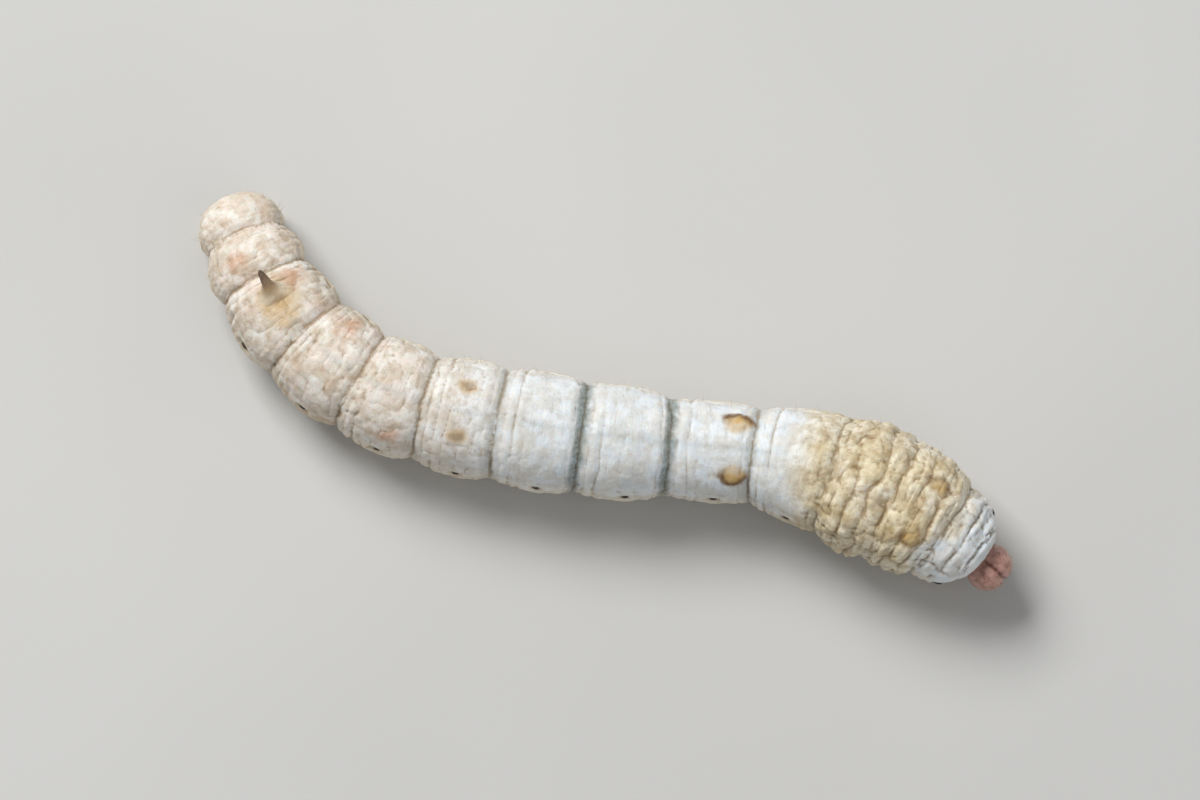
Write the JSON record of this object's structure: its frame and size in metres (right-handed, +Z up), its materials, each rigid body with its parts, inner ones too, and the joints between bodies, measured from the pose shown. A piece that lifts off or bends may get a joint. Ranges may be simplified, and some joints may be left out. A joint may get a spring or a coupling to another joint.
{
  "type": "silkworm",
  "caption": "Silkworm, the larva of the mulberry silk moth, last instar, standing on its legs and prolegs with its body in a gentle S, as a still life-size model.",
  "frame": {"origin": "on the floor under the middle of the whole animal's box", "axes": "+X along the animal's longest extent, with the head towards +X; +Y away from the viewer, on the animal's left; +Z up"},
  "size_m": [0.0654, 0.0324, 0.0108],
  "materials": {
    "skin": "soft matt skin, waxy white to pinkish cream",
    "thorax_skin": "soft matt wrinkled skin, cream yellow",
    "head_shell": "smooth horny shell, reddish tan",
    "leg_shell": "smooth horny shell, amber",
    "jaw_shell": "smooth horny shell, dark brown"
  },
  "bodies": {
    "root": {"head": "head_shell", "mandible_left": "jaw_shell", "mandible_right": "jaw_shell", "spinneret": "jaw_shell", "antenna_left": "leg_shell", "antenna_right": "leg_shell", "prothorax": "thorax_skin", "mesothorax": "thorax_skin", "metathorax": "thorax_skin", "abdomen_1": "skin", "abdomen_2": "skin", "abdomen_3": "skin", "abdomen_4": "skin", "abdomen_5": "skin", "abdomen_6": "skin", "abdomen_7": "skin", "abdomen_8": "skin", "abdomen_9": "skin", "abdomen_10": "skin", "caudal_horn": "skin", "leg_left_1": "leg_shell", "leg_left_2": "leg_shell", "leg_left_3": "leg_shell", "leg_right_1": "leg_shell", "leg_right_2": "leg_shell", "leg_right_3": "leg_shell", "proleg_left_3": "skin", "proleg_left_4": "skin", "proleg_left_5": "skin", "proleg_left_6": "skin", "proleg_right_3": "skin", "proleg_right_4": "skin", "proleg_right_5": "skin", "proleg_right_6": "skin", "clasper_left": "skin", "clasper_right": "skin"}
  },
  "joints": []
}
